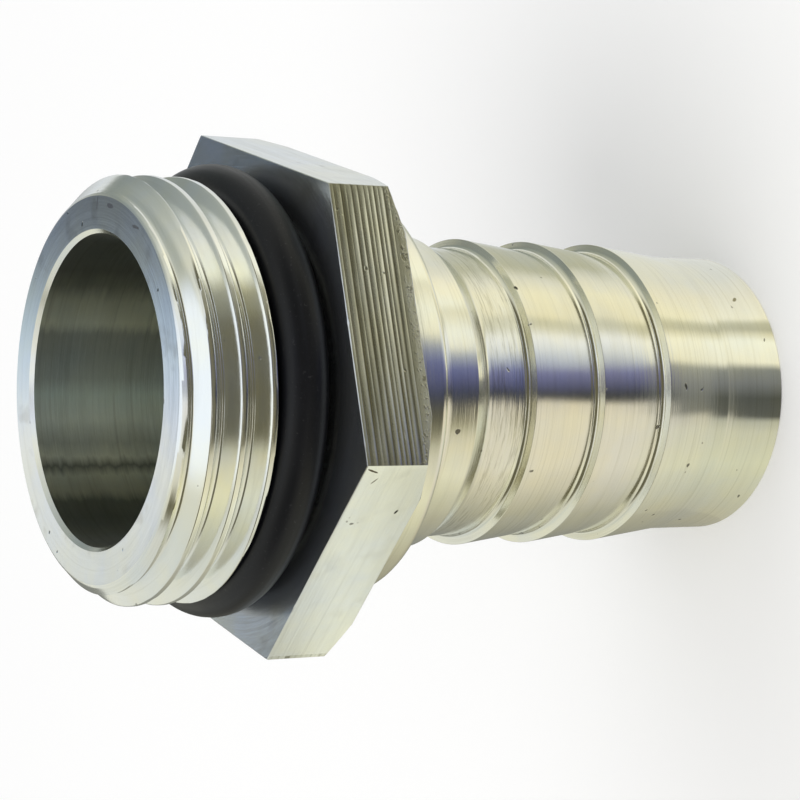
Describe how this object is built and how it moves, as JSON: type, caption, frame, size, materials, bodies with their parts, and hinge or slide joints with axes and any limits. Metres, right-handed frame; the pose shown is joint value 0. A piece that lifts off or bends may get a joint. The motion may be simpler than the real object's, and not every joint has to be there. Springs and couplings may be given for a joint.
{
  "type": "hose barb tail",
  "caption": "Straight steel hose tail: male parallel metric thread with a captive seal ring, hexagon for a spanner, and a barbed tail that a hose is pushed onto and clamped.",
  "frame": {"origin": "centre of the tail end face, on the axis of the bores", "axes": "+Z along the axis from the tail end towards the threaded end, +X square to one pair of the hexagon's flats, +Y through two of its corners"},
  "size_m": [0.03, 0.0346, 0.0469],
  "materials": {
    "zinc_plated_steel": "turned steel, bright zinc plated with a faint yellow passivation",
    "seal_rubber": "smooth black nitrile rubber"
  },
  "bodies": {
    "root": {"fitting_body": "zinc_plated_steel", "o_ring": "seal_rubber"}
  },
  "joints": []
}
